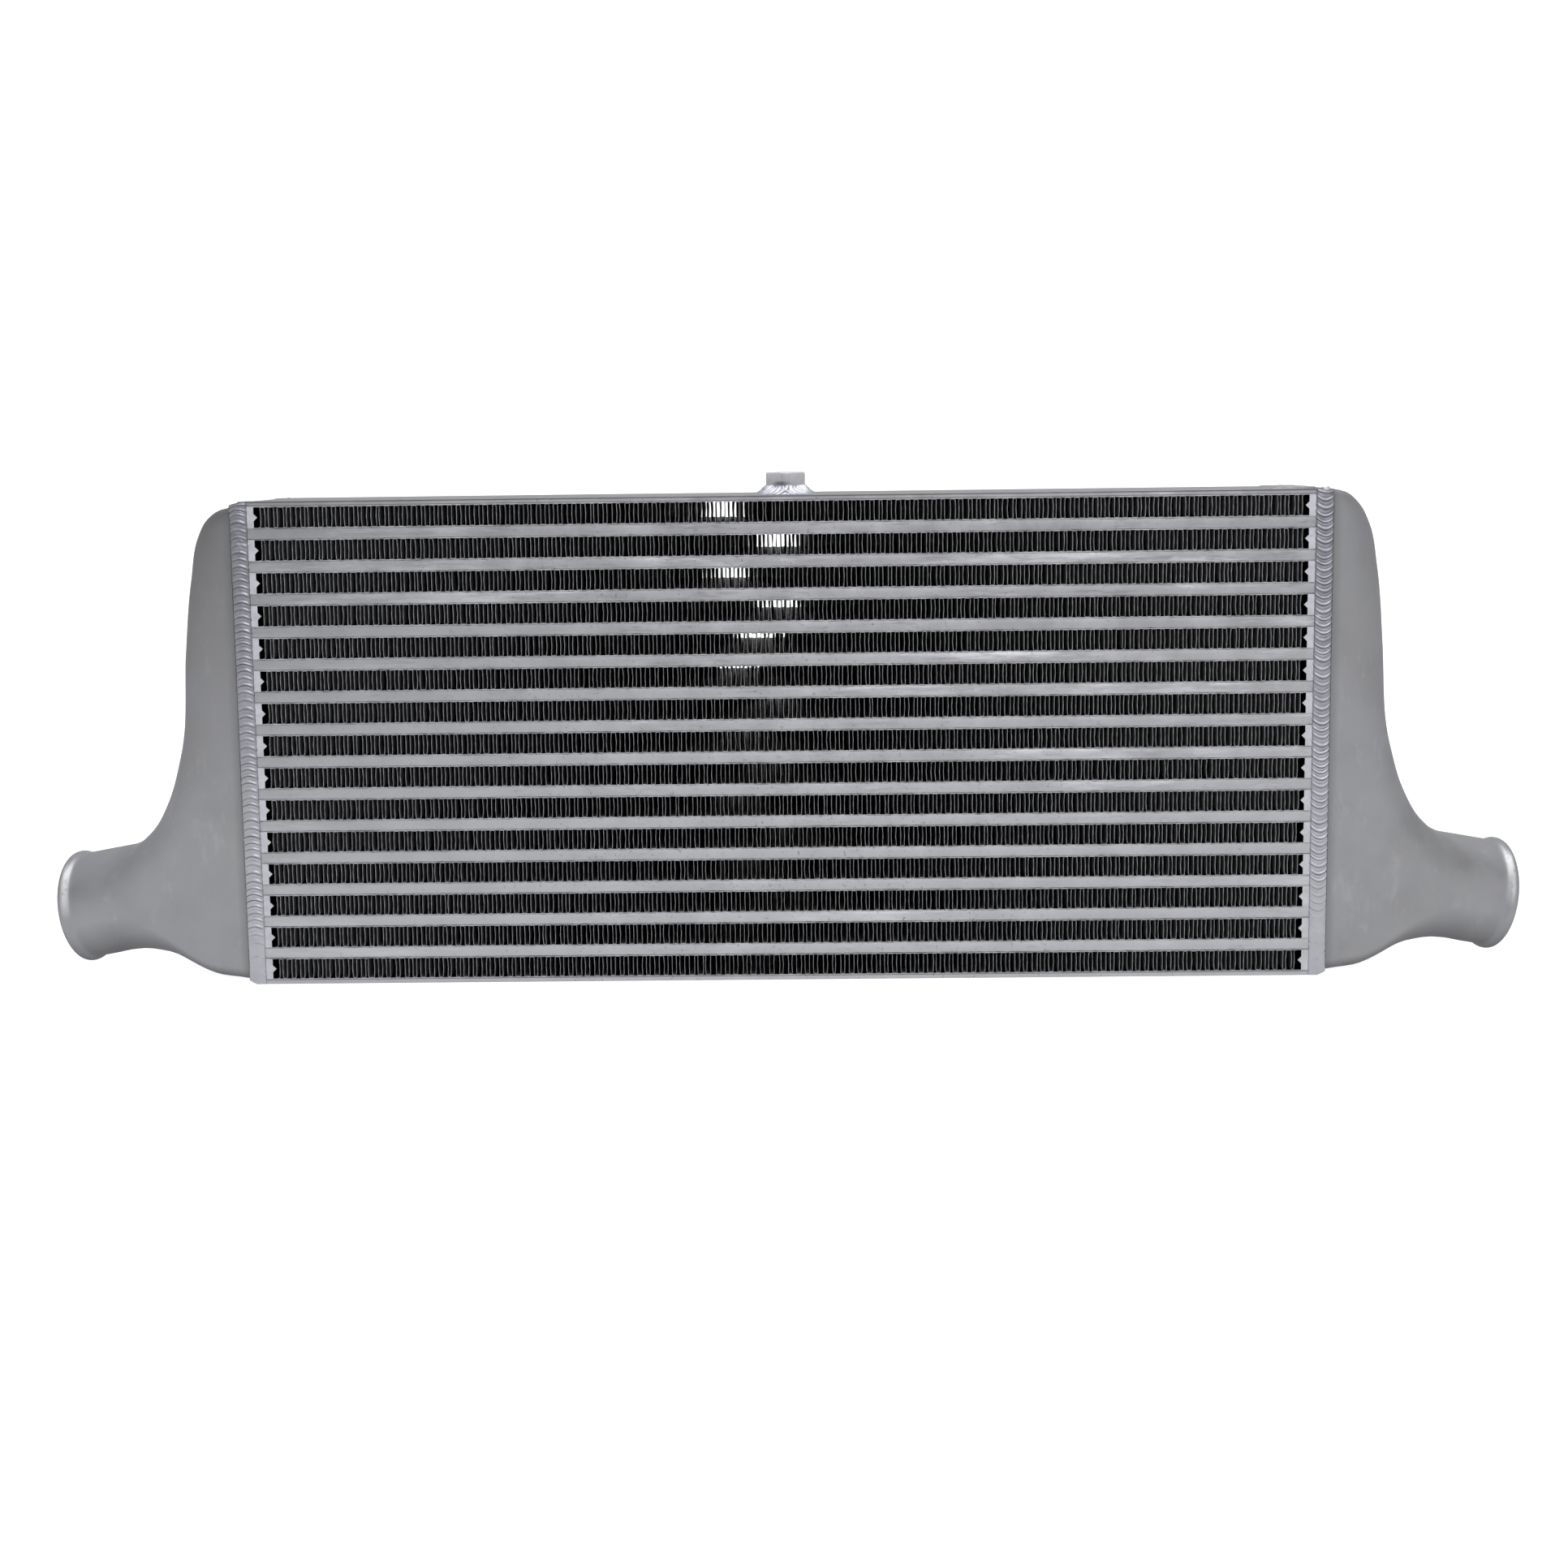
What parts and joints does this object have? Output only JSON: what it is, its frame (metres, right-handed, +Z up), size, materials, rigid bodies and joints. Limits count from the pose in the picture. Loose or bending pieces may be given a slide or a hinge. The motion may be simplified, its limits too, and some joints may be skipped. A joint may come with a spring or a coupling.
{
  "type": "intercooler",
  "caption": "Bar-and-plate air-to-air intercooler core with cast aluminium end tanks welded on, low side nozzles with hose beads and a threaded boss on top.",
  "frame": {"origin": "middle of the underside of the core, which the part stands on", "axes": "+X along the core towards the right tank, +Y from the front face to the rear face, +Z up the stack"},
  "size_m": [0.8756, 0.0798, 0.2987],
  "materials": {
    "cast_tank": "satin",
    "bar": "brazed, scuffed",
    "fin": "thin folded sheet",
    "charge_side": "thin folded sheet",
    "weld": "rippled, bright",
    "machined": "machined"
  },
  "bodies": {
    "root": {"ambient_fin_01": "fin", "ambient_fin_02": "fin", "ambient_fin_03": "fin", "ambient_fin_04": "fin", "ambient_fin_05": "fin", "ambient_fin_06": "fin", "ambient_fin_07": "fin", "ambient_fin_08": "fin", "ambient_fin_09": "fin", "ambient_fin_10": "fin", "ambient_fin_11": "fin", "ambient_fin_12": "fin", "ambient_fin_13": "fin", "ambient_fin_14": "fin", "ambient_fin_15": "fin", "turbulator_01": "charge_side", "turbulator_02": "charge_side", "turbulator_03": "charge_side", "turbulator_04": "charge_side", "turbulator_05": "charge_side", "turbulator_06": "charge_side", "turbulator_07": "charge_side", "turbulator_08": "charge_side", "turbulator_09": "charge_side", "turbulator_10": "charge_side", "turbulator_11": "charge_side", "turbulator_12": "charge_side", "turbulator_13": "charge_side", "turbulator_14": "charge_side", "long_bars_01": "bar", "long_bars_02": "bar", "long_bars_03": "bar", "long_bars_04": "bar", "long_bars_05": "bar", "long_bars_06": "bar", "long_bars_07": "bar", "long_bars_08": "bar", "long_bars_09": "bar", "long_bars_10": "bar", "long_bars_11": "bar", "long_bars_12": "bar", "long_bars_13": "bar", "long_bars_14": "bar", "separator_sheets_lower": "bar", "separator_sheets_upper": "bar", "short_bars_left": "bar", "short_bars_right": "bar", "bottom_end_plate": "bar", "top_end_plate": "bar", "left_end_tank": "cast_tank", "right_end_tank": "cast_tank", "left_tank_weld": "weld", "right_tank_weld": "weld", "mounting_boss": "machined", "boss_weld": "weld", "corner_pad": "weld"}
  },
  "joints": []
}
